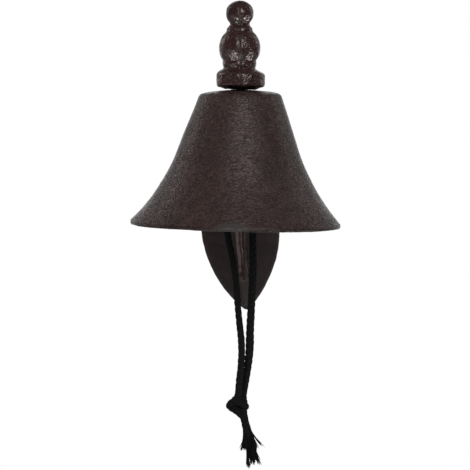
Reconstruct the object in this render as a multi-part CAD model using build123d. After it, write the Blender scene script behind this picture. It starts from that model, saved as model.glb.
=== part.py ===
from build123d import *
import os
from math import atan2, cos, degrees, pi, radians, sin, sqrt, tan

# A cast iron dinner bell that hangs from a wall bracket, with a clapper and a knotted pull cord.
# Millimetres. The origin is the middle of the wall plate's back face, which lies on the wall.
# +Y points into the wall, +Z up and +X to the right of someone who stands in front of the bell.

# Bell casting, measured up from the bottom of its rim
rim_radius = 65.4
rim_band = 2.4  # upright band round the mouth
rim_round = 0.9
flare_start = 46.2  # height where the straight skirt begins to flare
flare_start_radius = 38.15
shoulder_height = 81.6
shoulder_radius = 25.4
shoulder_round = 3.0
crown_rise = 3.1  # how far the domed crown stands above the shoulder
bell_wall = 4.5
bell_lean = 1.65  # degrees, the bolted bell leans clockwise seen from the front

# Where the bell hangs
rim_to_wall = 19.6  # gap between rim and wall
rim_height = 4.9  # rim above the middle of the wall plate

# Eye bolt, washers and nut
bolt_radius = 3.0
bolt_engagement = 10.5  # depth of the bolt in the boss
bolt_end_chamfer = 0.6
thread_play = 0.05
hole_play = 0.25  # radial play of the bell on the bolt
bell_play = 0.15  # end play of the bell between its washers
washer_radius = 7.5
washer_thickness = 0.85
nut_across_flats = 10.0
nut_height = 3.2
eye_wire_radius = 2.0
eye_hole_radius = 3.5
eye_neck = 0.4  # shank left bare between nut and eye

# Ring that links the eye bolt to the clapper
link_wire_radius = 1.5
link_hole_radius = 3.7
link_split = 0.5
hang_play = 0.25  # slack between rings that hang in each other

# Clapper casting
clapper_eye_wire = 1.3
clapper_eye_hole = 2.2
rod_top_radius = 2.4
rod_bottom_radius = 3.6
ball_radius = 13.5
ball_drop = 35.0  # ball's middle below the clapper's pivot
tail_width = 9.6
tail_depth = 12.0
tail_round = 3.0
tail_below_hole = 4.5
cord_hole_drop = 54.3  # cross hole below the clapper's pivot
cord_hole_play = 0.3
cord_hole_round = 1.7

# Pull cord, its knot and its frayed end
cord_radius = 2.2
cord_side = 8.0  # how far each half hangs from the middle of the clapper where it leaves the hole
knot_drop = 113.1  # knot's middle below the cross hole
knot_shift = -0.9  # sideways from the clapper's middle
knot_half_height = 6.2
knot_core_radius = 4.5
knot_wrap_radius = 3.9
knot_wrap_tilt = 24.0
fray_start_drop = 117.0  # the tail leaves the knot here
fray_spread_drop = 136.0
fray_end_drop = 153.2
fray_width = 8.4
fray_depth = 6.0
fray_end_depth = 4.8

# Wall plate
plate_length = 112.0  # from point to point, before the points are rounded
plate_width = 51.2
plate_thickness = 5.0
plate_edge_round = 1.6
plate_tip_round = 2.5
plate_skew = 4.5  # degrees, the plate hangs anticlockwise seen from the front
screw_spacing = 31.0
screw_height = 15.0
screw_hole_radius = 2.75
screw_head_radius = 5.0

# Rib on the plate and the arm that grows out of it
rib_foot_margin = 4.5  # rib starts this far above the plate's lower point
rib_foot_half_width = 2.2
rib_nose_rise = 15.5  # from the foot to the nose, where the rib has its full height
rib_nose_half_width = 4.9
rib_waist_half_width = 5.4
rib_front = 7.6  # how far the rib stands off the plate
rib_nose_half_depth = 6.4
arm_root_height = 12.5
arm_half_width = 6.0
arm_half_depth = 7.0
arm_end_half_width = 5.4
arm_end_half_depth = 4.5
arm_upright = 55.0  # how long the arm keeps going up before it bends
arm_forward = 40.0  # how long it points forward before it meets the boss
arm_shares = (0, 0.3, 0.55, 0.8, 1)  # where along its bend the arm's section is set

# Boss, measured up from its underside
seat_radius = 7.5
boss_cone_radius = 14.0  # the underside rises in a shallow cone out to here
boss_cone_rise = 1.1
boss_radius = 15.15
boss_bottom_round = 2.9
boss_side = 4.85
boss_shoulder = 3.3
boss_top_radius = 11.4
boss_top_cone = 0.8

# Finial, stacked up from the groove above the boss
finial_shift = -0.45  # sideways, the finial stands a little off the line of the bolt
groove_radius = 9.75
groove_height = 12.45  # above the boss's underside
low_collar_radius = 10.6
low_collar_length = 4.45
low_neck_radius = 10.2
low_ball_radius = 12.95
high_notch_radius = 7.9
high_collar_radius = 8.05
high_collar_rise = 1.2
high_cove_radius = 7.0
high_cove_rise = 2.8
high_neck_radius = 6.1
high_neck_rise = 4.5
top_ball_radius = 8.62
top_ball_neck_radius = 6.3
top_ball_neck_rise = 5.25

# Places that follow from the sizes above
bell_reach = rim_radius + rim_to_wall
crown_height = shoulder_height + crown_rise
crown_top = -washer_thickness - bell_play
boss_height = rim_height + crown_height - crown_top
dome_radius = (shoulder_radius**2 + crown_rise**2) / (2 * crown_rise)
inner_dome_radius = dome_radius - bell_wall
inner_dome_drop = inner_dome_radius - sqrt(inner_dome_radius**2 - washer_radius**2)
bottom_washer_top = crown_top - bell_wall - inner_dome_drop - bell_play
nut_top = bottom_washer_top - washer_thickness
eye_ring_radius = eye_hole_radius + eye_wire_radius
eye_height = nut_top - nut_height - eye_neck - eye_ring_radius - eye_wire_radius
link_ring_radius = link_hole_radius + link_wire_radius
clapper_ring_radius = clapper_eye_hole + clapper_eye_wire
cord_hole_radius = cord_radius + cord_hole_play
arm_end_height = boss_height + boss_bottom_round + boss_side / 2

# The bolt, the bell and the boss lean together, and what hangs in the eye hangs plumb
lean = Location((0, -bell_reach, boss_height), (0, bell_lean, 0))
link_pivot = (lean * Location((0, 0, eye_height - eye_ring_radius))).position
link_height = link_pivot.Z + eye_wire_radius + hang_play + link_wire_radius - link_ring_radius
clapper_pivot = Vector(link_pivot.X, link_pivot.Y, link_height - link_ring_radius)
cord_pivot = clapper_pivot - Vector(0, 0, cord_hole_drop)

# The cord's route from its left end in the knot, up to the cross hole, through it and down again.
# Each point is sideways, forward and up from the middle of the hole.
left_half = [
    (-0.7, -2.2, -107.5),
    (-0.1, -2.3, -99.0),
    (1.3, -1.8, -88.0),
    (1.6, -1.0, -75.0),
    (0.2, -0.9, -63.0),
    (-0.9, -1.0, -52.0),
    (-1.9, -0.6, -36.5),
    (-3.5, -0.7, -24.6),
    (-6.8, -0.2, -9.8),
]
right_half = [
    (8.3, 0.3, -9.8),
    (8.7, -0.2, -24.3),
    (8.2, 0.4, -38.5),
    (7.4, 0.5, -54.0),
    (6.7, 0.9, -68.0),
    (6.5, 1.5, -80.0),
    (5.1, 2.1, -92.0),
    (2.5, 2.3, -107.5),
]
cord_route = [*left_half, (-cord_side, 0, 0), (cord_side, 0, 0), *right_half]
cord_points = [cord_pivot + Vector(*point) for point in cord_route]


def turned(outline):
    """A solid of revolution about Z from a closed outline in the XZ plane."""
    return revolve(Plane.XZ * make_face(outline), axis=Axis.Z)


def ball_half_chord(ball, neck):
    """How far from a ball's middle its radius has shrunk to that of a neck."""
    return sqrt(ball**2 - neck**2)


def ring(centre_radius, wire_radius, direction):
    """A wire ring about the origin whose hole points along a direction."""
    return Plane((0, 0, 0), z_dir=direction) * Torus(centre_radius, wire_radius)


def bell():
    """Domed crown, straight skirt and flared mouth of even wall, with a bolt hole in the crown."""
    top = (0, crown_height)
    shoulder = (shoulder_radius, shoulder_height)
    flare = (flare_start_radius, flare_start)
    rim_top = (rim_radius, rim_band)
    below = -2 * bell_wall
    skirt = Vector(*flare) - Vector(*shoulder)
    half = make_face(
        [
            TangentArc(top, shoulder, tangent=(1, 0)),
            Line(shoulder, flare),
            TangentArc(flare, rim_top, tangent=(skirt.X, skirt.Y)),
            Line(rim_top, (rim_radius, below)),
            Line((rim_radius, below), (0, below)),
            Line((0, below), top),
        ]
    )
    solid_form = half + mirror(half, about=Plane.YZ)
    hollow = offset(solid_form, amount=-bell_wall, kind=Kind.INTERSECTION)
    one_side = Pos(rim_radius, crown_height) * Rectangle(2 * rim_radius, 2 * crown_height)
    wall = (solid_form - hollow) & one_side
    body = revolve(Plane.XZ * wall, axis=Axis.Z)
    mouth = body.faces().sort_by(Axis.Z)[0]
    body = fillet(mouth.edges().sort_by(SortBy.LENGTH)[-1], rim_round)
    shoulders = [
        edge
        for edge in body.edges().filter_by(GeomType.CIRCLE)
        if edge.radius < rim_radius and edge.center().Z > shoulder_height - 2 * bell_wall
    ]
    body = fillet(shoulders, shoulder_round)
    body -= Cylinder(bolt_radius + hole_play, 4 * crown_height)
    return lean * Pos(0, 0, crown_top - crown_height) * body


def washer(top):
    """A flat washer whose upper face lies at the height top, measured from the boss's underside."""
    blank = Cylinder(washer_radius, washer_thickness)
    hole = Cylinder(bolt_radius + thread_play, washer_thickness)
    return lean * Pos(0, 0, top - washer_thickness / 2) * (blank - hole)


def bell_nut():
    """A thin hexagon nut with its corners turned off."""
    corner_radius = nut_across_flats / (2 * cos(radians(30)))
    hexagon = Pos(0, 0, -nut_height / 2) * extrude(RegularPolygon(corner_radius, 6), nut_height)
    blank = Cylinder(corner_radius, nut_height)
    blank = chamfer(blank.edges().filter_by(GeomType.CIRCLE), corner_radius - nut_across_flats / 2)
    bore = Cylinder(bolt_radius + thread_play, nut_height)
    return lean * Pos(0, 0, nut_top - nut_height / 2) * ((hexagon & blank) - bore)


def eye_bolt():
    """A round shank that ends in a closed eye, whose hole faces left and right."""
    shank_length = bolt_engagement - eye_height - eye_ring_radius
    shank = Cylinder(bolt_radius, shank_length)
    upper_end = shank.faces().sort_by(Axis.Z)[-1]
    shank = chamfer(upper_end.edges(), bolt_end_chamfer)
    shank = Pos(0, 0, bolt_engagement - shank_length / 2) * shank
    eye = Pos(0, 0, eye_height) * ring(eye_ring_radius, eye_wire_radius, (1, 0, 0))
    return lean * (shank + eye)


def clapper_link():
    """A wire bent into a ring, split at one side, that hangs in the eye and faces front and back."""
    wire = ring(link_ring_radius, link_wire_radius, (0, 1, 0))
    split = Pos(link_ring_radius, 0, 0) * Box(4 * link_wire_radius, 4 * link_wire_radius, link_split)
    return Pos(link_pivot.X, link_pivot.Y, link_height) * (wire - split)


def clapper():
    """Cast eye, tapered rod, ball and a tail with a rounded cross hole for the cord."""
    eye_middle = link_wire_radius + hang_play - clapper_eye_hole
    rod_top = eye_middle - clapper_ring_radius
    rod_length = rod_top + ball_drop
    rod = Pos(0, 0, rod_top - rod_length / 2) * Cone(rod_bottom_radius, rod_top_radius, rod_length)
    eye = Pos(0, 0, eye_middle) * ring(clapper_ring_radius, clapper_eye_wire, (1, 0, 0))
    ball = Pos(0, 0, -ball_drop) * Sphere(ball_radius)
    tail_length = cord_hole_drop + tail_below_hole - ball_drop
    tail = Box(tail_width, tail_depth, tail_length)
    tail = fillet(tail.edges().filter_by(Axis.Z), tail_round)
    cross_hole = Rot(0, 90, 0) * Cylinder(cord_hole_radius, tail_width)
    tail -= Pos(0, 0, tail_below_hole - tail_length / 2) * cross_hole
    flanks = tail.faces().filter_by(Axis.X)
    mouths = [edge for flank in flanks for edge in flank.inner_wires()[0].edges()]
    tail = Pos(0, 0, -ball_drop - tail_length / 2) * fillet(mouths, cord_hole_round)
    return Pos(clapper_pivot) * (rod + eye + ball + tail)


def pull_cord():
    """One cord from the knot up through the clapper and back, as straight runs joined by arcs."""
    radii = []
    for before, corner, after in zip(cord_points, cord_points[1:], cord_points[2:]):
        arriving = corner - before
        leaving = after - corner
        half_turn = radians(arriving.get_angle(leaving)) / 2
        radii.append(0.45 * min(arriving.length, leaving.length) / tan(half_turn))
    print("cord bend radii in mm:", [round(radius, 1) for radius in radii])
    path = FilletPolyline(*cord_points, radius=radii)
    section = Plane(path @ 0, z_dir=path % 0) * Circle(cord_radius)
    tube = sweep(section, path=path)
    expected = path.length * pi * cord_radius**2
    print("cord length in mm:", round(path.length, 1))
    print("cord volume over section times length:", round(tube.volume / expected, 4))
    return tube


def cord_knot():
    """A tight lump: a core along the cord and one turn wrapped askew round it."""
    oval = Ellipse(knot_core_radius, knot_half_height)
    one_side = Pos(knot_core_radius, 0) * Rectangle(2 * knot_core_radius, 2 * knot_half_height)
    core = revolve(Plane.XZ * (oval & one_side), axis=Axis.Z)
    wrap = Rot(0, knot_wrap_tilt, 0) * Torus(knot_wrap_radius, cord_radius)
    return Pos(cord_pivot + Vector(knot_shift, 0, -knot_drop)) * (core + wrap)


def cord_tail():
    """The two short ends below the knot, which fray out and lean to the right."""
    stations = [
        (1.7, fray_start_drop, cord_radius, cord_radius),
        (4.2, (fray_start_drop + fray_spread_drop) / 2, cord_radius, cord_radius),
        (6.3, fray_spread_drop, fray_width / 2, fray_depth / 2),
        (8.0, fray_end_drop, fray_width / 2, fray_end_depth / 2),
    ]
    sections = [
        Plane(cord_pivot + Vector(sideways, 0, -drop)) * Ellipse(half_width, half_depth)
        for sideways, drop, half_width, half_depth in stations
    ]
    return loft(sections)


def wall_plate():
    """A pointed oval of two arcs with rounded points and a rounded front edge."""
    half_length = plate_length / 2
    half_width = plate_width / 2
    right = ThreePointArc((0, -half_length), (half_width, 0), (0, half_length))
    left = ThreePointArc((0, half_length), (-half_width, 0), (0, -half_length))
    plate = extrude(Plane.XZ * make_face([right, left]), plate_thickness)
    plate = fillet(plate.edges().filter_by(Axis.Y), plate_tip_round)
    front = plate.faces().sort_by(Axis.Y)[0]
    plate = fillet(front.edges(), plate_edge_round)
    return Rot(0, -plate_skew, 0) * plate


def arm_section(depth, height, half_width, half_depth, rise):
    """An oval cut through rib or arm. Rise is 90 degrees where it stands and 0 where it points forward."""
    upright_share = 1 - max(height, 0) / arm_end_height
    sideways = -tan(radians(plate_skew)) * height * upright_share
    normal = (0, -cos(radians(rise)), sin(radians(rise)))
    plane = Plane((sideways, depth, height), x_dir=(1, 0, 0), z_dir=normal)
    return plane * Ellipse(half_width, half_depth)


def rib_and_arm():
    """One flowing form: a rib that thickens up the plate, leaves it and bends forward to the boss."""
    foot = rib_foot_margin - plate_length / 2
    nose = foot + rib_nose_rise
    waist = (nose + arm_root_height) / 2
    middle = arm_half_depth - plate_thickness - rib_front
    foot_middle = rib_foot_half_width / 2 - plate_thickness
    arm_end_depth = boss_radius / 2 - bell_reach
    bend = Bezier(
        (middle, arm_root_height),
        (middle, arm_root_height + arm_upright),
        (arm_end_depth + arm_forward, arm_end_height),
        (arm_end_depth, arm_end_height),
    )
    sections = [
        arm_section(foot_middle, foot, rib_foot_half_width, rib_foot_half_width, 90),
        arm_section(middle, nose, rib_nose_half_width, rib_nose_half_depth, 90),
        arm_section(middle, waist, rib_waist_half_width, arm_half_depth, 90),
    ]
    for share in arm_shares:
        place = bend @ share
        heading = bend % share
        sections.append(
            arm_section(
                place.X,
                place.Y,
                arm_half_width + (arm_end_half_width - arm_half_width) * share,
                arm_half_depth + (arm_end_half_depth - arm_half_depth) * share,
                degrees(atan2(heading.Y, -heading.X)),
            )
        )
    return loft(sections)


def boss():
    """The round boss over the bell, square to the leaning bolt."""
    side_top = boss_bottom_round + boss_side
    shoulder_top = side_top + boss_shoulder
    top = shoulder_top + boss_top_cone
    corner = (side_top + shoulder_top) / 2
    cone_edge = (boss_cone_radius, boss_cone_rise)
    low_corner = boss_cone_rise * (boss_radius - seat_radius) / (boss_cone_radius - seat_radius)
    outline = [
        Line((0, 0), (seat_radius, 0)),
        Line((seat_radius, 0), cone_edge),
        Bezier(cone_edge, (boss_radius, low_corner), (boss_radius, boss_bottom_round)),
        Line((boss_radius, boss_bottom_round), (boss_radius, side_top)),
        Bezier((boss_radius, side_top), (boss_radius, corner), (boss_top_radius, shoulder_top)),
        Line((boss_top_radius, shoulder_top), (groove_radius, top)),
        Line((groove_radius, top), (0, top)),
        Line((0, top), (0, 0)),
    ]
    return lean * turned(outline)


def finial():
    """Two balls with collars, necks and a cove between them, upright above the boss."""
    base = groove_height - boss_top_cone - boss_shoulder
    low_neck = groove_height + low_collar_length
    low_ball = low_neck + ball_half_chord(low_ball_radius, low_neck_radius)
    notch = low_ball + ball_half_chord(low_ball_radius, high_notch_radius)
    top_neck = notch + top_ball_neck_rise
    top_ball = top_neck + ball_half_chord(top_ball_radius, top_ball_neck_radius)
    tip = top_ball + top_ball_radius
    cove = (high_cove_radius, notch + high_cove_rise)
    outline = [
        Line((0, base), (groove_radius, base)),
        Line((groove_radius, base), (groove_radius, groove_height)),
        ThreePointArc(
            (groove_radius, groove_height),
            (low_collar_radius, (groove_height + low_neck) / 2),
            (low_neck_radius, low_neck),
        ),
        ThreePointArc((low_neck_radius, low_neck), (low_ball_radius, low_ball), (high_notch_radius, notch)),
        ThreePointArc((high_notch_radius, notch), (high_collar_radius, notch + high_collar_rise), cove),
        ThreePointArc(cove, (high_neck_radius, notch + high_neck_rise), (top_ball_neck_radius, top_neck)),
        ThreePointArc((top_ball_neck_radius, top_neck), (top_ball_radius, top_ball), (0, tip)),
        Line((0, tip), (0, base)),
    ]
    return Pos(finial_shift, -bell_reach, boss_height) * turned(outline)


def wall_bracket():
    """Plate, rib, arm, boss and finial in one casting, with screw holes and the bolt's blind hole."""
    casting = wall_plate() + rib_and_arm() + boss() + finial()
    behind_wall = Pos(0, plate_length / 2, 0) * Box(2 * plate_length, plate_length, 2 * plate_length)
    casting -= behind_wall
    for side in (-1, 1):
        centre = Pos(side * screw_spacing / 2, -plate_thickness / 2, screw_height) * Rot(90, 0, 0)
        casting -= centre * Cylinder(screw_hole_radius, 2 * plate_thickness)
        sink = screw_head_radius - screw_hole_radius
        head = Cone(screw_hole_radius, screw_head_radius, sink)
        casting -= centre * Pos(0, 0, (plate_thickness - sink) / 2) * head
    bolt_hole = Pos(0, 0, bolt_engagement / 2) * Cylinder(bolt_radius + thread_play, bolt_engagement)
    return casting - lean * bolt_hole


parts = {
    "wall_bracket": wall_bracket(),
    "bell": bell(),
    "eye_bolt": eye_bolt(),
    "top_washer": washer(0),
    "bottom_washer": washer(bottom_washer_top),
    "bell_nut": bell_nut(),
    "clapper_link": clapper_link(),
    "clapper": clapper(),
    "pull_cord": pull_cord(),
    "cord_knot": cord_knot(),
    "cord_tail": cord_tail(),
}

os.makedirs("parts", exist_ok=True)
for name, solid in parts.items():
    export_step(solid, f"parts/{name}.step")
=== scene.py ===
import bmesh
import bpy
import random
from math import atan2, ceil, cos, pi, radians, sin, sqrt, tau
from mathutils import Matrix, Vector, noise


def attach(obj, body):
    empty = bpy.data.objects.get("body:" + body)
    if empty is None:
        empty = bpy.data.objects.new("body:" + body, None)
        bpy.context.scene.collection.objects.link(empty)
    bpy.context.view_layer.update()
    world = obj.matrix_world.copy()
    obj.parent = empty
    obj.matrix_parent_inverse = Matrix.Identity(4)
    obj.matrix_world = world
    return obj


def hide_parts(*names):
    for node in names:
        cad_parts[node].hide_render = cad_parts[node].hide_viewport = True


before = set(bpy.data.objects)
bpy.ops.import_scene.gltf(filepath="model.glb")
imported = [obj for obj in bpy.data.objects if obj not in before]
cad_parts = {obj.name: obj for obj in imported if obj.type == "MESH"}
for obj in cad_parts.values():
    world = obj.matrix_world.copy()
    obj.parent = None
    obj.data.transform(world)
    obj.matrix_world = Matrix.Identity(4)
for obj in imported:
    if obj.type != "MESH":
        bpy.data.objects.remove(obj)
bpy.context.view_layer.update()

# Sizes in metres, and the frame has +Y into the wall, +Z up and +X to the right
MM = 0.001

# The bell hangs from the boss on a bolt that leans clockwise
BELL_REACH = 85.0 * MM  # from the wall to the bolt
BOSS_HEIGHT = 90.6 * MM  # the boss's underside
BELL_LEAN = radians(1.65)
BELL_DROP = 1.0 * MM  # from the boss's underside to the crown
LEAN = Matrix.Translation((0, -BELL_REACH, BOSS_HEIGHT)) @ Matrix.Rotation(BELL_LEAN, 4, "Y")

# Bell outline, measured up from the bottom of its rim
RIM_RADIUS = 65.4 * MM
RIM_BAND = 2.4 * MM  # upright band round the mouth
BAND_FOOT = 0.4  # share of the band that is left below its last point above the rounded edge
RIM_ROUND = 0.9 * MM
RIM_INNER_EDGE = 0.2 * MM  # how far out from the lowest point of the inside the rim's flat begins
FLARE_START = 46.2 * MM
FLARE_START_RADIUS = 38.15 * MM
SHOULDER_HEIGHT = 81.6 * MM
SHOULDER_RADIUS = 25.4 * MM
SHOULDER_ROUND = 1.6 * MM
CROWN_RISE = 3.1 * MM
CROWN_FULLNESS = 0.45 * MM  # how far the crown stands above an even dome near its shoulder
FULLNESS_POWER = 4  # keeps that fullness near the shoulder
BELL_WALL = 4.5 * MM
BELL_HOLE_RADIUS = 3.25 * MM

# How finely the bell is divided, round its axis and along its outline
BELL_SEGMENTS = 360
DOME_STEPS = 40
SKIRT_STEPS = 60
FLARE_STEPS = 90
ROUND_STEPS = 5
INSIDE_STEP = 4  # the inside is smoother, so it takes fewer rings

# The bell came out of its mould skewed: two slopes against its lean, and a shift of the mouth
CROWN_LIFT = 0.0288  # slope that brings the crown back to level
RIM_LIFT = 0.0055  # slope that is left of it at the rim
MOULD_SHEAR = 0.007  # how far the mouth stands off to the left, per drop from the crown

# Painted highlight on the front of the rim: grey specks laid over the coat's colour
RIM_HIGHLIGHT_MIDDLE = (-5.0 * MM, -149.0 * MM, 7.0 * MM)
RIM_HIGHLIGHT_REACH = (13.0 * MM, 14.0 * MM, 5.6 * MM)
RIM_HIGHLIGHT_FADE = 0.35  # share of its reach where the patch begins to fade
RIM_HIGHLIGHT_SPECK = 1.1 * MM
RIM_HIGHLIGHT_BETWEEN = 0.25  # how much of the painted highlight shows between the specks
RIM_HIGHLIGHT_GREY = (0.0215, 0.0205, 0.0205, 1)

# Boss over the bell, with pairs for where a change starts and how far it goes on
BOSS_MIDDLE = 98.4 * MM
BOSS_HALF = 9.5 * MM
BOSS_SWELL = 0.14  # the left end is thicker by this share
SWELL_LEFT = (6.0 * MM, 10.0 * MM)
BOSS_SAG = 1.1 * MM  # the underside sags like a cone
SAG_DOWN = (3.0 * MM, 4.0 * MM)
SAG_OUT = (7.6 * MM, 1.4 * MM)
SAG_FADE_OUT = (9.0 * MM, 4.5 * MM)
SAG_FADE = 0.8  # share of the sag that is lost towards the boss's side

# Top ball of the finial, a little flat above
TOP_FLAT = 0.7 * MM
TOP_UP = (139.0 * MM, 6.5 * MM)

# Parting seam of the bracket: a wavering, sunk line up the front, on the crest of a broad, low ridge
SEAM_LEAN = 0.0247
SEAM_AT_ORIGIN = 2.93 * MM
SEAM_WAVER = 0.9 * MM
WAVER_SIZE = 5 * MM
SEAM_WIDTH = 0.8 * MM
SEAM_DEPTH = 0.45 * MM
SEAM_LOOK = 1.1 * MM  # how far from the seam the painted shade and the dullness reach
SEAM_PAINTED_SHADE = 0.5  # painted shade in the seam's groove: share of its brightness that the coat keeps there
SEAM_DULLNESS = 0.6
RIDGE_WIDTH = 5.0 * MM
RIDGE_HEIGHT = 0.35 * MM
RIDGE_FACING = 0.5  # the ridge is full where the skin faces the front at least this much

# Bracket near the wall: less relief, a duller coat, and painted shade on the plate and the rib's foot,
# which lie in the bell's shadow
CALM_REACH = (18.0 * MM, 45.0 * MM)  # distances from the wall between which the relief grows
WALL_RELIEF = 0.12  # share of the relief that is left on the wall
SHINE_REACH = (8.0 * MM, 12.4 * MM)  # distances from the wall between which the shine grows
NOSE_REACH = (-37.0 * MM, -33.5 * MM)  # heights between which it grows
WALL_PAINTED_SHADE = 0.4  # painted shade near the wall and below the rib's nose: share of its brightness that the coat keeps there
WALL_DULLNESS = 0.8

# Thread of the eye bolt, along the leaning line it hangs on
BOLT_RADIUS = 3.0 * MM
THREAD_PITCH = 1.0 * MM
THREAD_DEPTH = 0.5 * MM
THREAD_BOTTOM = -10.1 * MM
THREAD_TOP = 10.0 * MM

# Size of the small faces that a remeshed skin is made of
BRACKET_VOXEL = 0.55 * MM
CLAPPER_VOXEL = 0.4 * MM
BOLT_VOXEL = 0.2 * MM
KNOT_VOXEL = 0.28 * MM

# Lumps of the castings and fuzz of the cord, in layers that are each a grain size and a depth
BELL_LUMPS = [(22 * MM, 0.30 * MM), (5 * MM, 0.10 * MM), (1.3 * MM, 0.10 * MM)]
BRACKET_LUMPS = [(14 * MM, 0.3 * MM), (4.5 * MM, 0.22 * MM)]
CLAPPER_LUMPS = [(9 * MM, 0.3 * MM), (3 * MM, 0.15 * MM)]
BOLT_LUMPS = [(4 * MM, 0.03 * MM)]
CORD_FUZZ = [(2.5 * MM, 0.12 * MM), (0.9 * MM, 0.06 * MM)]
KNOT_FUZZ = [(1.6 * MM, 0.12 * MM), (0.7 * MM, 0.06 * MM)]

# Dark and light of each surface
BELL_BROWN = ((0.0148, 0.0088, 0.0084), (0.0240, 0.0147, 0.0140))
RIM_BROWN = ((0.009, 0.0055, 0.0050), (0.018, 0.0110, 0.0100))
BRACKET_BROWN = ((0.0112, 0.0048, 0.0045), (0.0190, 0.0088, 0.0083))
CLAPPER_BROWN = ((0.018, 0.013, 0.011), (0.040, 0.030, 0.026))
BRIGHT_STEEL = ((0.10, 0.095, 0.09), (0.30, 0.29, 0.27))
# near black for the washers and nut: painted shade, as they sit under the boss and inside the bell
PAINTED_SHADE_STEEL = ((0.006, 0.005, 0.005), (0.022, 0.019, 0.018))
COTTON_BLACK = ((0.0012, 0.0011, 0.0012), (0.0042, 0.0039, 0.0039))
IRON_GLINT = (1, 0.88, 0.86, 1)  # tint of the shine on painted iron

# Mottling and tarnish by their size, and the grain of plating and fibres by its size and depth
MOTTLE_SIZE = 9 * MM
TARNISH_SIZE = 2.5 * MM
PLATING_GRAIN = (0.6 * MM, 0.03 * MM)
FIBRE_GRAIN = (0.35 * MM, 0.08 * MM)

# Between which two values of its noise, or of its distance, each look turns from one to the other
MOTTLE_TURN = (0.3, 0.72)
HOLLOW_TURN = (0.36, 0.56)
GLOSS_TURN = (0.35, 0.6)
TARNISH_TURN = (0.35, 0.7)
FIBRE_TURN = (0.3, 0.75)
SPECK_TURN = (0.42, 0.58)
SEAM_TURN = (0.2, 1.0)

# Laid cord: what its tube looks like along and round itself
CORD_RADIUS = 2.2 * MM
CORD_PITCH = 12.0 * MM
STRANDS = 3
GROOVE_DEPTH = 0.17  # share of the radius that is lost where two strands meet
GROOVE_POWER = 3  # keeps the grooves narrow
ROPE_STEP = 0.35 * MM  # between the rings of points along a rope
ROUTE_STEPS = 24  # points on a route's smooth line for each point of the route

# Cord's route: its points, and those of knot and tail, are sideways, forward and up, in millimetres
CORD_PIVOT = Vector((-0.673, -85.0, 6.281)) * MM  # middle of the clapper's cross hole
CORD_ROUTE = [
    (-0.7, -2.2, -107.5),
    (-0.1, -2.3, -99.0),
    (1.3, -1.8, -88.0),
    (1.6, -1.0, -75.0),
    (0.2, -0.9, -63.0),
    (-0.9, -1.0, -52.0),
    (-1.9, -0.6, -36.5),
    (-3.5, -0.7, -24.6),
    (-6.8, -0.2, -9.8),
    (-8.0, 0.0, 0.0),
    (8.0, 0.0, 0.0),
    (8.3, 0.3, -9.8),
    (8.7, -0.2, -24.3),
    (8.2, 0.4, -38.5),
    (7.4, 0.5, -54.0),
    (6.7, 0.9, -68.0),
    (6.5, 1.5, -80.0),
    (5.1, 2.1, -92.0),
    (2.5, 2.3, -107.5),
]

# How thick the cord looks at shares of its length, the slacker half being the thicker one
CORD_SWELL = [
    (0, 1.0),
    (0.16, 1.0),
    (0.24, 0.95),
    (0.46, 0.97),
    (0.54, 1.08),
    (0.78, 1.12),
    (0.86, 1.2),
    (1, 1.02),
]

# Knot, measured from its middle: two runs of cord down through it, one wrapped round them, and its core
KNOT_MIDDLE = CORD_PIVOT + Vector((-0.9, 0, -113.1)) * MM
KNOT_TIGHTNESS = 0.8  # of the cord's pitch
KNOT_RUNS = [
    [
        (0.6, -2.0, 9),
        (0.3, -2.0, 5.6),
        (-1.6, -1.6, 2.9),
        (-6.2, -0.3, -0.7),
        (-3.4, 0.9, -3.0),
        (0.6, 1.0, -5.4),
        (3.0, 1.3, -8),
    ],
    [
        (3.9, 2.0, 9),
        (3.2, 2.0, 5.6),
        (3.8, 0.8, 2.4),
        (4.2, -0.6, -1),
        (3.4, -1.2, -4.6),
        (3.9, -1.4, -8),
    ],
    [
        (3.8, 2.9, -2.4),
        (0.2, 3.6, -0.6),
        (-2.8, 1.6, 1.2),
        (-1.4, -3, 2.6),
        (2, -4.0, 1.2),
        (5, -2.4, -0.8),
        (4.8, 1, -2.2),
        (3, 2.8, -2.3),
    ],
    [
        (2.4, 0, 4.6),
        (1.0, 0, 2.0),
        (-1.6, 0, -0.6),
        (0.6, 0, -3.4),
        (2.6, 0, -6.4),
    ],
]

# Frayed tail: two runs of cord below the knot, then bundles of loose yarn, each with its number of yarns
TAIL_RUNS = [
    [(1.0, 1.5, -115.5), (2.3, 1.5, -119.8), (3.3, 1.4, -124), (4.1, 1.2, -128.5), (4.9, 1.0, -134)],
    [(2.6, -1.4, -115.5), (3.0, -1.4, -119.8), (3.9, -1.3, -124), (4.7, -1.1, -128.5), (5.9, -0.9, -133.5)],
]
TAIL_SWELL = [(0, 1.0), (0.6, 1.02), (1, 0.6)]
FRAY_BUNDLES = [
    (22, [(3.6, 0.6, -127), (3.4, 0.9, -132), (2.9, 1.2, -137), (1.0, 1.4, -142.6)]),
    (22, [(3.4, 0.2, -127), (3.4, 0.3, -133), (3.4, 0.5, -138), (3.0, 0.6, -142.6)]),
    (34, [(4.0, 0.5, -127), (4.4, 0.3, -134), (5.1, -0.4, -143), (5.9, -0.8, -153.6)]),
    (34, [(4.6, -0.4, -127), (5.6, -0.2, -135), (6.9, 0.5, -144), (7.8, 0.9, -151.4)]),
    (34, [(4.8, -0.6, -127), (6.4, -0.6, -135), (8.3, -0.9, -143), (9.6, -1.2, -151.2)]),
    (30, [(5.0, 0.2, -127), (7.0, 0.5, -134), (9.6, 0.6, -143), (13.2, 0.4, -151.6)]),
    (24, [(5.0, 0.0, -127), (6.8, 0.2, -134), (9.0, 0.3, -142), (11.2, 0.4, -149.6)]),
    (24, [(5.2, -0.8, -127), (7.2, -1.2, -132), (9.4, -1.5, -136), (10.8, -1.8, -142.4)]),
    (8, [(5.2, 0.2, -126), (6.6, 0.1, -130), (9.8, -0.3, -134), (14.4, -0.8, -140.3)]),
]

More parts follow.
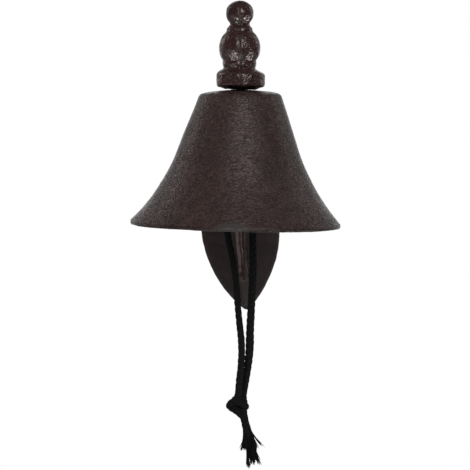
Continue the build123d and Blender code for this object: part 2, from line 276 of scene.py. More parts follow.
# Loose yarns of the tail
YARN_SEED = 7
YARN_STEP = 0.8 * MM  # between the points along a yarn
YARN_SPREAD = 1.5  # millimetres, radius of a bundle at its start
YARN_SPREAD_LOSS = 1.5  # power by which that radius is lost towards the end
YARN_STRAY = (0.7, 0.9)  # millimetres, how far ends stray sideways and forward
YARN_WAVE = (0.1, 0.45)  # millimetres, the least and the most that a yarn waves
YARN_WAVE_TURN = (8, 7)  # radians of waving along a yarn, sideways and forward
YARN_RADIUS = (0.16, 0.27)  # millimetres, of the thinnest and the thickest yarn
YARN_SHARE = (0.86, 1.0)  # shortest and longest yarn, as shares of the bundle's length
YARN_POINTS = 4  # fewest points of a yarn
YARN_TIP = 0.6  # how thick a yarn is at its last two points

# Camera: the photograph's frame, seen from a little above the bell's mouth
VIEW_DISTANCE = 1.5
VIEW_RISE = radians(3.5)
VIEW_TARGET = Vector((-3.33, -85.0, -0.8)) * MM
VIEW_WIDTH = 292.9 * MM
VIEW_END = 100  # how far the camera sees
SENSOR = 36.0  # millimetres

# Where the lamps look: most of them at the bell, and two at the glossy rib under it, which shows them
BELL_MIDDLE = (0, -85 * MM, 30 * MM)
RIB_MIDDLE = Vector((0, -10.0, -14.0)) * MM

# Backdrop: how straight back a direction points where the mirrored room begins and ends to turn white
BACKDROP_TURN = (0.8, 0.99)

# Floor: where it turns from lit to white, as seen by distance, and as mirrored by depth behind the wall
FLOOR_HALF = 30.0
FLOOR_HEIGHT = -1.1
FLOOR_PAINT = 0.86
FLOOR_SEEN_TURN = (1.3, 4.0)
FLOOR_SEEN_NEAR = 0.88  # share of even white in the lit part
FLOOR_MIRROR_TURN = (3.0, 12.0)
FLOOR_MIRROR_NEAR = 0.05  # the same for what mirror-like faces show


# Pieces and meshes

def add_object(name, mesh, body, nodes=()):
    """Links a mesh as a piece that rides on a body and may replace CAD nodes."""
    piece = bpy.data.objects.new(name, mesh)
    bpy.context.scene.collection.objects.link(piece)
    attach(piece, body)
    if nodes:
        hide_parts(*nodes)
    return piece


def smooth(mesh):
    """Shades all faces of a mesh smooth."""
    mesh.polygons.foreach_set("use_smooth", [True] * len(mesh.polygons))
    mesh.update()


def mesh_from(name, points, faces):
    """A smooth mesh from lists of points and faces."""
    mesh = bpy.data.meshes.new(name)
    mesh.from_pydata([tuple(point) for point in points], [], faces)
    mesh.validate()
    smooth(mesh)
    return mesh


def ring_faces(rings, sides, closed_ends=False):
    """Quads between rings of points that follow each other in one list."""
    faces = []
    for ring in range(rings - 1):
        for side in range(sides):
            here, there = ring * sides, (ring + 1) * sides
            turn = (side + 1) % sides
            faces.append((here + side, here + turn, there + turn, there + side))
    if closed_ends:
        faces.append(tuple(reversed(range(sides))))
        faces.append(tuple(range((rings - 1) * sides, rings * sides)))
    return faces


def roughen(mesh, layers, seed):
    """Moves each point along its normal by layers of noise, each given as (grain size, depth)."""
    mesh.update()
    offset = Vector((seed, 2 * seed, 3 * seed))
    normals = [vertex.normal.copy() for vertex in mesh.vertices]
    for vertex, normal in zip(mesh.vertices, normals):
        shift = 0.0
        for size, depth in layers:
            shift += depth * noise.noise(vertex.co / size + offset)
        vertex.co += normal * shift
    mesh.update()


def remeshed(mesh, voxel, softening):
    """The mesh as one closed skin of small even faces, with its sharp corners softened."""
    holder = bpy.data.objects.new(mesh.name, mesh)
    bpy.context.scene.collection.objects.link(holder)
    remesh = holder.modifiers.new("remesh", "REMESH")
    remesh.mode = "VOXEL"
    remesh.voxel_size = voxel
    soften = holder.modifiers.new("soften", "SMOOTH")
    soften.factor = 0.5
    soften.iterations = softening
    graph = bpy.context.evaluated_depsgraph_get()
    result = bpy.data.meshes.new_from_object(holder.evaluated_get(graph))
    bpy.data.objects.remove(holder)
    result.name = mesh.name
    result.materials.clear()
    smooth(result)
    return result


def joined(meshes, name):
    """Several meshes as one."""
    whole = bmesh.new()
    for mesh in meshes:
        whole.from_mesh(mesh)
        bpy.data.meshes.remove(mesh)
    result = bpy.data.meshes.new(name)
    whole.to_mesh(result)
    whole.free()
    return result


def ease(value):
    """From 0 to 1, smooth at both ends."""
    value = min(1, max(0, value))
    return value * value * (3 - 2 * value)


# Shader nodes

def shader(name):
    """A new material, its node tree and its Principled shader."""
    material = bpy.data.materials.new(name)
    material.use_nodes = True
    tree = material.node_tree
    return material, tree, tree.nodes["Principled BSDF"]


def grey(value):
    """A colour that is equal in red, green and blue."""
    return (value, value, value)


def place_of(tree, kind="Object"):
    """The shaded point's place, or the direction of a ray in the world."""
    return tree.nodes.new("ShaderNodeTexCoord").outputs[kind]


def axis_of(tree, place, axis):
    """One of a place's three numbers."""
    axes = tree.nodes.new("ShaderNodeSeparateXYZ")
    tree.links.new(place, axes.inputs["Vector"])
    return axes.outputs[axis]


def noise_node(tree, size, detail, roughness=0.5, distortion=0.0, stretch=(1, 1, 1)):
    """Noise with grains of a size in metres."""
    mapping = tree.nodes.new("ShaderNodeMapping")
    mapping.inputs["Scale"].default_value = stretch
    node = tree.nodes.new("ShaderNodeTexNoise")
    node.inputs["Scale"].default_value = 1 / size
    node.inputs["Detail"].default_value = detail
    node.inputs["Roughness"].default_value = roughness
    node.inputs["Distortion"].default_value = distortion
    tree.links.new(place_of(tree), mapping.inputs["Vector"])
    tree.links.new(mapping.outputs["Vector"], node.inputs["Vector"])
    return node.outputs["Fac"]


def ramp_node(tree, source, turn, low, high):
    """A colour that turns from low to high as a value goes from the first to the second of a turn."""
    ramp = tree.nodes.new("ShaderNodeValToRGB")
    for element, position, colour in zip(ramp.color_ramp.elements, turn, (low, high)):
        element.position = position
        element.color = (*colour, 1)
    tree.links.new(source, ramp.inputs["Fac"])
    return ramp.outputs["Color"]


def bump_node(tree, source, distance, under=None, strength=1.0):
    """Relief of a depth in metres, laid over the relief under it."""
    bump = tree.nodes.new("ShaderNodeBump")
    bump.inputs["Strength"].default_value = strength
    bump.inputs["Distance"].default_value = distance
    tree.links.new(source, bump.inputs["Height"])
    if under:
        tree.links.new(under, bump.inputs["Normal"])
    return bump.outputs["Normal"]


def math_node(tree, operation, first, second=0.0):
    """A sum on two values, each a number or the output of a node."""
    node = tree.nodes.new("ShaderNodeMath")
    node.operation = operation
    for source, socket in zip((first, second), node.inputs):
        if isinstance(source, float):
            socket.default_value = source
        else:
            tree.links.new(source, socket)
    return node.outputs[0]


def vector_node(tree, operation, vector, by, output):
    """A sum on a vector and a fixed one."""
    node = tree.nodes.new("ShaderNodeVectorMath")
    node.operation = operation
    node.inputs[1].default_value = by
    tree.links.new(vector, node.inputs[0])
    return node.outputs[output]


def change_node(tree, value, start, end, low, high):
    """A smooth change from low to high as a value goes from start to end."""
    change = tree.nodes.new("ShaderNodeMapRange")
    change.interpolation_type = "SMOOTHSTEP"
    change.inputs["From Min"].default_value = start
    change.inputs["From Max"].default_value = end
    change.inputs["To Min"].default_value = low
    change.inputs["To Max"].default_value = high
    tree.links.new(value, change.inputs["Value"])
    return change.outputs["Result"]


def along_axis(tree, axis, reach, low, high):
    """A value that changes smoothly from low to high between two places along an axis."""
    return change_node(tree, axis_of(tree, place_of(tree), axis), *reach, low, high)


def from_wall(tree, reach, at_wall, in_front):
    """A value that changes from the part near the wall to the part that stands out in front of it."""
    return along_axis(tree, "Y", (-reach[0], -reach[1]), at_wall, in_front)


def shade_node(tree, colour, shade):
    """A colour darkened by a shade."""
    mix = tree.nodes.new("ShaderNodeMix")
    mix.data_type = "RGBA"
    mix.blend_type = "MULTIPLY"
    mix.inputs["Factor"].default_value = 1.0
    tree.links.new(colour, mix.inputs["A"])
    tree.links.new(shade, mix.inputs["B"])
    return mix.outputs["Result"]


# Iron

def seam_profile(tree, width):
    """From 0 on the casting's wavering parting seam to 1 at a distance from it."""
    across = vector_node(tree, "DOT_PRODUCT", place_of(tree), (1, 0, SEAM_LEAN), "Value")
    waver = noise_node(tree, WAVER_SIZE, detail=3, roughness=0.6)
    across = math_node(tree, "ADD", math_node(tree, "MULTIPLY", waver, SEAM_WAVER), across)
    away = math_node(tree, "SUBTRACT", across, SEAM_AT_ORIGIN + SEAM_WAVER / 2)
    profile = tree.nodes.new("ShaderNodeMapRange")
    profile.inputs["From Max"].default_value = width
    tree.links.new(math_node(tree, "ABSOLUTE", away), profile.inputs["Value"])
    return profile.outputs["Result"]


def parting_seam(tree, shade, dullness, relief):
    """Marks of the bracket: its seam with painted shade in its groove, and how calm and dull it is near the
    wall, with painted shade on the plate and the rib's foot.
    """
    relief = bump_node(tree, seam_profile(tree, SEAM_WIDTH), SEAM_DEPTH, relief)
    look = seam_profile(tree, SEAM_LOOK)
    shades = (
        # painted shade in the seam's groove
        change_node(tree, look, *SEAM_TURN, SEAM_PAINTED_SHADE, 1.0),
        # painted shade on the plate, in the bell's shadow
        from_wall(tree, SHINE_REACH, WALL_PAINTED_SHADE, 1.0),
        # painted shade on the rib's foot, which faces down under the bell
        along_axis(tree, "Z", NOSE_REACH, WALL_PAINTED_SHADE, 1.0),
    )
    for dark in shades:
        shade = shade_node(tree, shade, dark)
    dull_parts = (
        change_node(tree, look, *SEAM_TURN, SEAM_DULLNESS, 0.0),
        from_wall(tree, SHINE_REACH, WALL_DULLNESS, 0.0),
        along_axis(tree, "Z", NOSE_REACH, WALL_DULLNESS, 0.0),
    )
    for dull in dull_parts:
        dullness = math_node(tree, "MAXIMUM", dullness, dull)
    strength = from_wall(tree, CALM_REACH, WALL_RELIEF, 1.0)
    for node in tree.nodes:
        if node.bl_idname == "ShaderNodeBump":
            tree.links.new(strength, node.inputs["Strength"])
    return shade, dullness, relief


def painted_rim_highlight(tree, shade, dullness, relief):
    """Marks of the bell: a painted highlight of grey specks on the front of its rim."""
    away = vector_node(tree, "SUBTRACT", place_of(tree), RIM_HIGHLIGHT_MIDDLE, "Vector")
    away = vector_node(tree, "DIVIDE", away, RIM_HIGHLIGHT_REACH, "Vector")
    away = vector_node(tree, "LENGTH", away, (0, 0, 0), "Value")
    patch = change_node(tree, away, RIM_HIGHLIGHT_FADE, 1.0, 1.0, 0.0)
    specks = noise_node(tree, RIM_HIGHLIGHT_SPECK, detail=3, roughness=0.6)
    specks = change_node(tree, specks, *SPECK_TURN, RIM_HIGHLIGHT_BETWEEN, 1.0)
    # painted highlight: grey specks mixed into the colour
    mix = tree.nodes.new("ShaderNodeMix")
    mix.data_type = "RGBA"
    mix.inputs["B"].default_value = RIM_HIGHLIGHT_GREY
    tree.links.new(math_node(tree, "MULTIPLY", patch, specks), mix.inputs["Factor"])
    tree.links.new(shade, mix.inputs["A"])
    return mix.outputs["Result"], dullness, relief


def cast_iron(
    name, colours, roughness, grain, pits, lumps, ior, valley=0.6, stretch=(1, 1, 1), marks=None
):
    """Sand-cast iron under a coat of paint.

    Grain, pits and lumps are each a size and a depth, roughness is that of a crest and of a valley, and
    valley is how dark the painted shade in the hollows of the pits is. Marks is a function that adds to the
    colour, dullness and relief.
    """
    material, tree, principled = shader(name)
    mottle = noise_node(tree, MOTTLE_SIZE, detail=5, roughness=0.6)
    slow = noise_node(tree, lumps[0], detail=3)
    coarse = noise_node(tree, pits[0], detail=2, distortion=0.8, stretch=stretch)
    fine = noise_node(tree, grain[0], detail=3, roughness=0.65)
    colour = ramp_node(tree, mottle, MOTTLE_TURN, *colours)
    # painted shade: the colour darkens in the hollows of the pits
    shade = shade_node(tree, colour, ramp_node(tree, coarse, HOLLOW_TURN, grey(valley), grey(1)))
    crest, hollow = roughness
    dullness = ramp_node(tree, coarse, GLOSS_TURN, grey(hollow), grey(crest))
    relief = bump_node(tree, slow, lumps[1])
    relief = bump_node(tree, coarse, pits[1], relief)
    relief = bump_node(tree, fine, grain[1], relief)
    if marks:
        shade, dullness, relief = marks(tree, shade, dullness, relief)
    tree.links.new(shade, principled.inputs["Base Color"])
    tree.links.new(dullness, principled.inputs["Roughness"])
    tree.links.new(relief, principled.inputs["Normal"])
    principled.inputs["IOR"].default_value = ior
    principled.inputs["Specular Tint"].default_value = IRON_GLINT
    return material


def bell_iron(name, colours):
    """The bell's coarse, pitted iron, with its pits stretched round it."""
    return cast_iron(
        name,
        colours,
        roughness=(0.20, 0.44),
        grain=(0.5 * MM, 0.06 * MM),
        pits=(1.05 * MM, 0.60 * MM),
        lumps=(9 * MM, 0.4 * MM),
        ior=1.30,
        valley=0.42,
        stretch=(0.5, 0.5, 1.1),
        marks=painted_rim_highlight,
    )


def bracket_iron():
    """The bracket's glossy, red-brown iron."""
    return cast_iron(
        "bracket_iron",
        BRACKET_BROWN,
        roughness=(0.07, 0.17),
        grain=(0.7 * MM, 0.015 * MM),
        pits=(1.8 * MM, 0.42 * MM),
        lumps=(5 * MM, 0.5 * MM),
        ior=1.5,
        marks=parting_seam,
    )


def clapper_iron():
    """The clapper's rough, dull iron."""
    return cast_iron(
        "clapper_iron",
        CLAPPER_BROWN,
        roughness=(0.40, 0.65),
        grain=(0.8 * MM, 0.05 * MM),
        pits=(2.2 * MM, 0.3 * MM),
        lumps=(6 * MM, 0.4 * MM),
        ior=1.3,
    )


# Steel and cotton

def dull_steel(name, colours, edge, roughness=(0.65, 0.42)):
    """Old plated steel with tarnish. Edge is how bright it is where it is seen at a slant."""
    material, tree, principled = shader(name)
    tarnish = noise_node(tree, TARNISH_SIZE, detail=6, roughness=0.6)
    plating = noise_node(tree, PLATING_GRAIN[0], detail=3)
    tarnished, clean = roughness
    colour = ramp_node(tree, tarnish, TARNISH_TURN, *colours)
    dullness = ramp_node(tree, tarnish, TARNISH_TURN, grey(tarnished), grey(clean))
    relief = bump_node(tree, plating, PLATING_GRAIN[1], strength=0.6)
    tree.links.new(colour, principled.inputs["Base Color"])
    tree.links.new(dullness, principled.inputs["Roughness"])
    tree.links.new(relief, principled.inputs["Normal"])
    principled.inputs["Metallic"].default_value = 1.0
    principled.inputs["Specular Tint"].default_value = (*grey(edge), 1)
    return material


def black_cord():
    """Black cotton cord: matt, with the fuzz of its fibres."""
    material, tree, principled = shader("black_cord")
    fibres = noise_node(tree, FIBRE_GRAIN[0], detail=4, roughness=0.7)
    colour = ramp_node(tree, fibres, FIBRE_TURN, *COTTON_BLACK)
    relief = bump_node(tree, fibres, FIBRE_GRAIN[1], strength=0.7)
    tree.links.new(colour, principled.inputs["Base Color"])
    tree.links.new(relief, principled.inputs["Normal"])
    principled.inputs["Roughness"].default_value = 0.85
    principled.inputs["IOR"].default_value = 1.18
    return material


# Bell

def arc_between(start, end, middle, steps):
    """Points from start towards end round a middle, the shorter way, without the last one."""
    first = atan2(start[1] - middle[1], start[0] - middle[0])
    last = atan2(end[1] - middle[1], end[0] - middle[0])
    turn = (last - first + pi) % tau - pi
    radius = sqrt((start[0] - middle[0]) ** 2 + (start[1] - middle[1]) ** 2)
    points = []
    for i in range(steps):
        angle = first + turn * i / steps
        points.append((middle[0] + radius * cos(angle), middle[1] + radius * sin(angle)))
    return points


def soft_corner(before, corner, after, reach, steps=6):
    """A rounded corner that starts and ends the same way from it along both sides."""
    into = (Vector(before) - Vector(corner)).normalized() * reach
    out = (Vector(after) - Vector(corner)).normalized() * reach
    start, end, tip = Vector(corner) + into, Vector(corner) + out, Vector(corner)
    points = []
    for i in range(steps + 1):
        share = i / steps
        points.append(tuple((1 - share) ** 2 * start + 2 * share * (1 - share) * tip + share**2 * end))
    return points


def tangent_arc_middle(start, direction, end):
    """The middle of the circle that leaves start along a direction and meets end."""
    side = Vector((-direction[1], direction[0])).normalized()
    gap = Vector(end) - Vector(start)
    return tuple(Vector(start) + side * (gap.length_squared / (2 * gap.dot(side))))


def bell_outline():
    """The bell's outside, from the middle of its crown down to its rim."""
    crown = SHOULDER_HEIGHT + CROWN_RISE
    dome_radius = (SHOULDER_RADIUS**2 + CROWN_RISE**2) / (2 * CROWN_RISE)
    dome_middle = (0, crown - dome_radius)
    shoulder = (SHOULDER_RADIUS, SHOULDER_HEIGHT)
    flare = (FLARE_START_RADIUS, FLARE_START)
    rim_top = (RIM_RADIUS, RIM_BAND)
    skirt = Vector(flare) - Vector(shoulder)
    flare_middle = tangent_arc_middle(flare, skirt, rim_top)
    outer = []
    for x, z in arc_between((0, crown), shoulder, dome_middle, DOME_STEPS):
        outer.append((x, z + CROWN_FULLNESS * sin(pi * (x / SHOULDER_RADIUS) ** FULLNESS_POWER)))
    outer += [tuple(Vector(shoulder).lerp(Vector(flare), i / SKIRT_STEPS)) for i in range(SKIRT_STEPS)]
    outer += arc_between(flare, rim_top, flare_middle, FLARE_STEPS)
    outer += [rim_top]
    return outer


def wall_inside(outer):
    """The outer line moved in by the wall's thickness, square to itself, down to the rim's plane."""
    inside = []
    for i in range(1, len(outer) - 1):
        run = Vector(outer[i + 1]) - Vector(outer[i - 1])
        inward = Vector((run[1], -run[0])).normalized()
        point = Vector(outer[i]) + inward * BELL_WALL
        if point[0] >= 0 and point[1] >= 0:
            inside.append(tuple(point))
    return inside


def rounded(line, index, reach):
    """A line with one of its corners softened."""
    points = []
    for i, point in enumerate(line):
        if i == index:
            points += soft_corner(line[i - 1], point, line[i + 1], reach)
        elif (Vector(point) - Vector(line[index])).length >= reach:
            points.append(point)
    return points


def bell_section():
    """Half section of the bell as one loop of points, and which of its rings edge the rim."""
    outer = bell_outline()
    outside = [point for point in outer if point[0] > BELL_HOLE_RADIUS]
    inside = [point for point in wall_inside(outer) if point[0] > BELL_HOLE_RADIUS]
    inside = inside[::INSIDE_STEP] + inside[-1:]
    shoulder = Vector((SHOULDER_RADIUS, SHOULDER_HEIGHT))
    nearest = min(range(len(outside)), key=lambda i: (Vector(outside[i]) - shoulder).length)
    outside = rounded(outside, nearest, SHOULDER_ROUND)
    rim = [(RIM_RADIUS, RIM_BAND * BAND_FOOT)]
    rim += soft_corner((RIM_RADIUS, RIM_BAND), (RIM_RADIUS, 0), (0, 0), RIM_ROUND, ROUND_STEPS)
    inner_edge = (inside[-1][0] + RIM_INNER_EDGE, 0)
    loop = outside + rim + [inner_edge] + list(reversed(inside))
    return loop, range(len(outside) - 1, len(outside) + len(rim))


def lathe_points(outline, matrix, segments):
    """Rings of points for an outline turned about Z."""
    points = []
    for radius, height in outline:
        for i in range(segments):
            angle = tau * i / segments
            points.append(matrix @ Vector((radius * cos(angle), radius * sin(angle), height)))
    return points


def crooked(point):
    """A point of the leaning bell, moved as the casting is skewed: level crown, mouth off to the left."""
    drop = BOSS_HEIGHT - BELL_DROP - point.z
    share = drop / (SHOULDER_HEIGHT + CROWN_RISE)
    lift = CROWN_LIFT + (RIM_LIFT - CROWN_LIFT) * share
    return Vector((point.x - MOULD_SHEAR * drop, point.y, point.z + lift * point.x))


def make_bell():
    """The bell casting, turned from its section, with a greyer edge round its rim."""
    loop, rim_rings = bell_section()
    seat = Matrix.Translation((0, 0, -BELL_DROP - SHOULDER_HEIGHT - CROWN_RISE))
    points = [crooked(point) for point in lathe_points(loop, LEAN @ seat, BELL_SEGMENTS)]
    faces = ring_faces(len(loop), BELL_SEGMENTS)
    last = (len(loop) - 1) * BELL_SEGMENTS
    for i in range(BELL_SEGMENTS):
        turn = (i + 1) % BELL_SEGMENTS
        faces.append((last + i, last + turn, turn, i))
    mesh = mesh_from("bell_casting", points, faces)
    roughen(mesh, BELL_LUMPS, seed=3)
    mesh.materials.append(bell_iron("bell_iron", BELL_BROWN))
    mesh.materials.append(bell_iron("rim_iron", RIM_BROWN))
    for i in range(rim_rings.start * BELL_SEGMENTS, rim_rings.stop * BELL_SEGMENTS):
        mesh.polygons[i].material_index = 1
    add_object("bell_casting", mesh, "bell", ["bell"])


# Skins over the CAD solids

def grown(value, start, reach):
    """From 0 at a start to 1 at the end of a reach beyond it, smooth at both ends."""
    return ease((value - start) / reach)


def boss_as_cast(point):
    """A point of the bracket: the boss is thicker at its left end, and the finial a little flat on top."""
    point.z -= TOP_FLAT * grown(point.z, *TOP_UP)
    above = point.z - BOSS_MIDDLE
    if abs(above) < BOSS_HALF and point.y < -BELL_REACH / 2:
        out = sqrt(point.x**2 + (point.y + BELL_REACH) ** 2)
        sag = BOSS_SAG * grown(-above, *SAG_DOWN) * grown(out, *SAG_OUT)
        sag *= 1 - SAG_FADE * grown(out, *SAG_FADE_OUT)
        swell = BOSS_SWELL * grown(-point.x, *SWELL_LEFT)
        point.z += swell * above - sag
    return point


def bracket_as_cast(mesh):
    """Reshapes the bracket's boss and top, and raises the broad ridge along its parting seam."""
    for vertex in mesh.vertices:
        vertex.co = boss_as_cast(vertex.co)
    mesh.update()
    near, far = CALM_REACH
    normals = [vertex.normal.copy() for vertex in mesh.vertices]
    for vertex, normal in zip(mesh.vertices, normals):
        away = abs(vertex.co.x + SEAM_LEAN * vertex.co.z - SEAM_AT_ORIGIN)
        ridge = max(0, 1 - away / RIDGE_WIDTH) * ease(-normal.y / RIDGE_FACING)
        relief = WALL_RELIEF + (1 - WALL_RELIEF) * grown(-vertex.co.y, near, far - near)
        vertex.co += normal * RIDGE_HEIGHT * ridge * relief


def thread_bolt(mesh):
    """Cuts a screw thread into the bolt's shank."""
    upright = LEAN.inverted()
    for vertex in mesh.vertices:
        point = upright @ vertex.co
        out = sqrt(point.x**2 + point.y**2)
        if THREAD_BOTTOM < point.z < THREAD_TOP and abs(out - BOLT_RADIUS) < THREAD_DEPTH:
            turn = (point.z / THREAD_PITCH - atan2(point.y, point.x) / tau) % 1
            scale = 1 - THREAD_DEPTH * (1 - abs(2 * turn - 1)) / out
            vertex.co = LEAN @ Vector((point.x * scale, point.y * scale, point.z))


def cast_skin(node, body, material, voxel, softening, lumps, seed, reshape=None):
    """A denser skin in the shape of a CAD node, with soft corners and the lumps of a sand casting."""
    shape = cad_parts[node].data.copy()
    shape.name = node + "_casting"
    mesh = remeshed(shape, voxel, softening)
    if reshape:
        reshape(mesh)
    roughen(mesh, lumps, seed)
    mesh.materials.append(material)
    add_object(node + "_casting", mesh, body, [node])


def dress(node, material):
    """Gives a CAD node its surface."""
    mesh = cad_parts[node].data
    mesh.materials.clear()
    mesh.materials.append(material)


def make_castings():
    """The bracket and the clapper, as they came out of the sand."""
    cast_skin(
        "wall_bracket",
        "bracket",
        bracket_iron(),
        voxel=BRACKET_VOXEL,
        softening=4,
        lumps=BRACKET_LUMPS,
        seed=5,
        reshape=bracket_as_cast,
    )
    cast_skin(
        "clapper",
        "clapper",
        clapper_iron(),
        voxel=CLAPPER_VOXEL,
        softening=4,
        lumps=CLAPPER_LUMPS,
        seed=9,
    )


def make_steel():
    """The threaded eye bolt and the split ring in bright steel, and the washers and the nut near black, as
    painted shade under the boss and inside the bell.
    """
    steel = dull_steel("dull_steel", BRIGHT_STEEL, edge=0.8)
    # painted shade: the washers and nut are coloured near black where they sit in shade
    painted_shade_steel = dull_steel("painted_shade_steel", PAINTED_SHADE_STEEL, edge=0.1)
    cast_skin(
        "eye_bolt",
        "bracket",
        steel,
        voxel=BOLT_VOXEL,
        softening=1,
        lumps=BOLT_LUMPS,
        seed=11,
        reshape=thread_bolt,
    )
    dress("clapper_link", steel)
    for node in ("top_washer", "bottom_washer", "bell_nut"):
        dress(node, painted_shade_steel)


# Cord

def route_line(points, name, origin=CORD_PIVOT):
    """The points along a smooth open NURBS line, by its control points in millimetres from an origin."""
    curve = bpy.data.curves.new(name, "CURVE")
    curve.dimensions = "3D"
    curve.resolution_u = ROUTE_STEPS
    spline = curve.splines.new("NURBS")
    spline.points.add(len(points) - 1)
    for control, point in zip(spline.points, points):
        control.co = (*(origin + Vector(point) * MM), 1)
    spline.order_u = 3
    spline.use_endpoint_u = True
    holder = bpy.data.objects.new(name, curve)
    line = bpy.data.meshes.new_from_object(holder)
    places = [vertex.co.copy() for vertex in line.vertices]
    bpy.data.meshes.remove(line)
    bpy.data.objects.remove(holder)
    bpy.data.curves.remove(curve)
    return places


def even_steps(places, step):
    """The same line with its points a set distance apart, and its length."""
    lengths = [0.0]
    for before, after in zip(places, places[1:]):
        lengths.append(lengths[-1] + (after - before).length)
    count = max(2, ceil(lengths[-1] / step))
    result = []
    index = 0
    for i in range(count + 1):
        target = lengths[-1] * i / count
        while index < len(places) - 2 and lengths[index + 1] < target:
            index += 1
        span = lengths[index + 1] - lengths[index]
        share = (target - lengths[index]) / span if span > 0 else 0
        result.append(places[index].lerp(places[index + 1], share))
    return result, lengths[-1]


def travelling_frames(places):
    """Two directions square to the line at each of its points, carried along without twist."""
    frames = []
    side = None
    for i in range(len(places)):
        ahead = places[min(i + 1, len(places) - 1)] - places[max(i - 1, 0)]
        ahead.normalize()
        if side is None:
            side = ahead.cross(Vector((0, 1, 0))).normalized()
        side = (side - ahead * side.dot(ahead)).normalized()
        frames.append((side.copy(), ahead.cross(side)))
    return frames


def between(stops, share):
    """The value at a share of the way along a list of (share, value) stops."""
    for (before, low), (after, high) in zip(stops, stops[1:]):
        if share <= after:
            return low + (high - low) * (share - before) / (after - before)
    return stops[-1][1]


def laid_rope(name, line, pitch, swell=((0, 1), (1, 1)), sides=48):
    """A hard-laid rope: one tube with the crests and grooves of its strands, and the points along it."""
    places, length = even_steps(line, ROPE_STEP)
    points = []
    for i, (place, (side, up)) in enumerate(zip(places, travelling_frames(places))):
        share = i / (len(places) - 1)
        size = CORD_RADIUS * between(swell, share)
        for k in range(sides):
            angle = tau * k / sides
            strand = (STRANDS * (k / sides - share * length / pitch)) % 1
            from_crest = abs(2 * strand - 1)
            reach = size * (1 - GROOVE_DEPTH * from_crest**GROOVE_POWER)
            points.append(place + (side * cos(angle) + up * sin(angle)) * reach)
    mesh = mesh_from(name, points, ring_faces(len(places), sides, closed_ends=True))
    return mesh, places


def make_cord(material):
    """The cord through the clapper's cross hole, and the points along its middle."""
    line = route_line(CORD_ROUTE, "cord_route")
    mesh, places = laid_rope("pull_cord_rope", line, CORD_PITCH, CORD_SWELL)
    roughen(mesh, CORD_FUZZ, seed=2)
    mesh.materials.append(material)
    rope = add_object("pull_cord_rope", mesh, "cord", ["pull_cord"])
    return rope, places


def make_knot(material):
    """A tight overhand knot, its runs of cord melted into one skin."""
    runs = []
    for run in KNOT_RUNS:
        line = route_line(run, "knot_run", KNOT_MIDDLE)
        runs.append(laid_rope("knot_run", line, CORD_PITCH * KNOT_TIGHTNESS)[0])
    mesh = remeshed(joined(runs, "cord_knot_rope"), KNOT_VOXEL, softening=2)
    roughen(mesh, KNOT_FUZZ, seed=4)
    mesh.materials.append(material)
    return add_object("cord_knot_rope", mesh, "cord", ["cord_knot"])


def loose_yarn(draw, line):
    """The points of one yarn of a bundle, drawn at random round the bundle's line."""
    turn, ring = draw.uniform(0, tau), sqrt(draw.uniform(0, 1))
    start = Vector((cos(turn), sin(turn), 0)) * ring * YARN_SPREAD * MM
    end = Vector((draw.gauss(0, YARN_STRAY[0]), draw.gauss(0, YARN_STRAY[1]), 0)) * MM
    wave, phase = draw.uniform(*YARN_WAVE) * MM, draw.uniform(0, tau)
    last = max(YARN_POINTS, round(len(line) * draw.uniform(*YARN_SHARE)))
    across, forth = YARN_WAVE_TURN
    path = []
    for i, place in enumerate(line[:last]):
        share = i / len(line)
        bend = Vector((sin(phase + share * across), cos(phase * 2 + share * forth), 0))
        sway = bend * wave * share
        path.append(place + start * (1 - share) ** YARN_SPREAD_LOSS + end * share + sway)
    return path


def yarn_tube(points, faces, line, thickness, sides=5):
    """Adds a thin tube, with a pointed end, to a list of points and one of faces."""
    first = len(points)
    frames = travelling_frames(line)
    for i, (place, (side, up)) in enumerate(zip(line, frames)):
        size = thickness * (1 if i < len(line) - 2 else YARN_TIP)
        for k in range(sides):
            angle = tau * k / sides
            points.append(place + (side * cos(angle) + up * sin(angle)) * size)
    tube = ring_faces(len(line), sides, closed_ends=True)
    faces += [tuple(first + index for index in face) for face in tube]


def make_tail(material):
    """Two short rope ends whose yarns come loose in bundles."""
    draw = random.Random(YARN_SEED)
    ropes = []
    for run in TAIL_RUNS:
        line = route_line(run, "tail_run")
        ropes.append(laid_rope("tail_run", line, CORD_PITCH, TAIL_SWELL)[0])
    points, faces = [], []
    for count, guide in FRAY_BUNDLES:
        line, _ = even_steps(route_line(guide, "fray_guide"), YARN_STEP)
        for _ in range(count):
            path = loose_yarn(draw, line)
            yarn_tube(points, faces, path, draw.uniform(*YARN_RADIUS) * MM)
    yarns = mesh_from("yarns", points, faces)
    mesh = joined([*ropes, yarns], "cord_tail_yarns")
    smooth(mesh)
    mesh.materials.append(material)
    return add_object("cord_tail_yarns", mesh, "cord", ["cord_tail"])


# Camera, lights and surroundings

def aim(holder, centre, back, distance):
    """Puts a camera or lamp at a distance from a centre and turns it towards it."""
    bpy.context.scene.collection.objects.link(holder)
    holder.location = Vector(centre) + back * distance
    holder.rotation_mode = "QUATERNION"
    holder.rotation_quaternion = (-back).to_track_quat("-Z", "Y")


def make_camera():
    """The camera that shows the photograph's frame."""
    camera = bpy.data.cameras.new("camera")
    camera.sensor_width = SENSOR
    camera.lens = SENSOR * VIEW_DISTANCE / VIEW_WIDTH
    camera.clip_end = VIEW_END
    holder = bpy.data.objects.new("camera", camera)
    aim(holder, VIEW_TARGET, Vector((0, -cos(VIEW_RISE), sin(VIEW_RISE))), VIEW_DISTANCE)
    bpy.context.scene.camera = holder


def make_lamp(name, azimuth, elevation, distance, size, watts, centre=BELL_MIDDLE, mirrored=True):
    """A soft lamp that looks at a centre, and that glossy faces may show."""
    lamp = bpy.data.lights.new(name, "AREA")
    lamp.shape = "RECTANGLE"
    lamp.size, lamp.size_y = size
    lamp.energy = watts
    holder = bpy.data.objects.new(name, lamp)
    a, e = radians(azimuth), radians(elevation)
    aim(holder, centre, Vector((sin(a) * cos(e), -cos(a) * cos(e), sin(e))), distance)
    holder.visible_glossy = mirrored


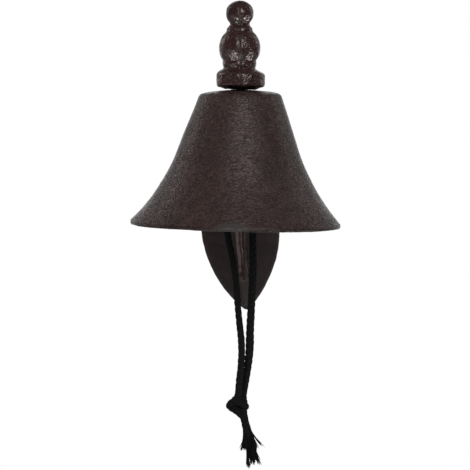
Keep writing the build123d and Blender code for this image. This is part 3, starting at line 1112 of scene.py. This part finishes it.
def make_lamps():
    """The lamps: degrees from the front and up, metres away, width and height in metres, and watts."""
    make_lamp("key", 10, 27, 1.2, (0.7, 0.9), 12.5)
    make_lamp("spark", 30, 22, 1.2, (0.25, 0.25), 1.6)
    make_lamp("front", 4, 0, 1.8, (0.9, 0.6), 2)
    make_lamp("left", -72, 42, 1.1, (0.5, 0.5), 15, mirrored=False)
    make_lamp("edge_left", -124, 24, 1.1, (0.25, 0.7), 1.4)
    make_lamp("right", 78, 42, 1.1, (0.5, 0.5), 9, mirrored=False)
    make_lamp("edge_right", 124, 24, 1.1, (0.25, 0.7), 1)
    make_lamp("low_left", -38, -42, 1.1, (0.35, 0.3), 4.5)
    make_lamp("low_right", 82, -36, 1.1, (0.3, 0.3), 5.5)
    make_lamp("rib_left", -58, -7, 0.5, (0.55, 0.15), 0.27, RIB_MIDDLE)
    make_lamp("rib_right", 70, -7, 0.5, (0.05, 0.15), 0.05, RIB_MIDDLE)


def seen_backdrop(tree, direct, mirrored):
    """One value for rays from the camera, and another for rays that are mirrored or pass through."""
    path = tree.nodes.new("ShaderNodeLightPath").outputs
    bounced = math_node(tree, "MAXIMUM", path["Is Glossy Ray"], path["Is Transmission Ray"])
    bounced = math_node(tree, "MULTIPLY", bounced, mirrored)
    straight = math_node(tree, "MULTIPLY", path["Is Camera Ray"], direct)
    return math_node(tree, "MAXIMUM", straight, bounced)


def make_world(ambient, room):
    """A white backdrop, which mirror-like faces show behind the bell and a dimmer room in front of it."""
    world = bpy.data.worlds.new("white_room")
    world.use_nodes = True
    bpy.context.scene.world = world
    tree = world.node_tree
    background = tree.nodes["Background"]
    background.inputs["Color"].default_value = (1, 1, 1, 1)
    backwards = axis_of(tree, place_of(tree, "Generated"), "Y")
    mirrored = change_node(tree, backwards, *BACKDROP_TURN, room, 1.0)
    strength = math_node(tree, "MAXIMUM", seen_backdrop(tree, 1.0, mirrored), ambient)
    tree.links.new(strength, background.inputs["Strength"])


def floor_white():
    """White paint that is lit by the lamps near the bell, and glows evenly further off."""
    material, tree, principled = shader("floor_white")
    principled.inputs["Base Color"].default_value = (*grey(FLOOR_PAINT), 1)
    principled.inputs["Roughness"].default_value = 0.9
    glow = tree.nodes.new("ShaderNodeEmission")
    glow.inputs["Color"].default_value = (1, 1, 1, 1)
    glow.inputs["Strength"].default_value = 1.0
    away = vector_node(tree, "LENGTH", place_of(tree), (0, 0, 0), "Value")
    direct = change_node(tree, away, *FLOOR_SEEN_TURN, FLOOR_SEEN_NEAR, 1.0)
    mirrored = along_axis(tree, "Y", FLOOR_MIRROR_TURN, FLOOR_MIRROR_NEAR, 1.0)
    mix = tree.nodes.new("ShaderNodeMixShader")
    tree.links.new(seen_backdrop(tree, direct, mirrored), mix.inputs["Fac"])
    tree.links.new(principled.outputs[0], mix.inputs[1])
    tree.links.new(glow.outputs[0], mix.inputs[2])
    tree.links.new(mix.outputs[0], tree.nodes["Material Output"].inputs["Surface"])
    return material


def make_floor():
    """A pale floor well below the cord."""
    half = FLOOR_HALF
    corners = [(-half, -half), (half, -half), (half, half), (-half, half)]
    mesh = mesh_from("floor", [(x, y, FLOOR_HEIGHT) for x, y in corners], [(0, 1, 2, 3)])
    mesh.materials.append(floor_white())
    floor = bpy.data.objects.new("floor", mesh)
    bpy.context.scene.collection.objects.link(floor)


# Scene

make_camera()
cord_material = black_cord()
rope, places = make_cord(cord_material)
knot = make_knot(cord_material)
tail = make_tail(cord_material)
make_bell()
make_castings()
make_steel()
make_world(ambient=0.12, room=0.1)
make_floor()
make_lamps()

bpy.context.scene.view_settings.view_transform = "Standard"
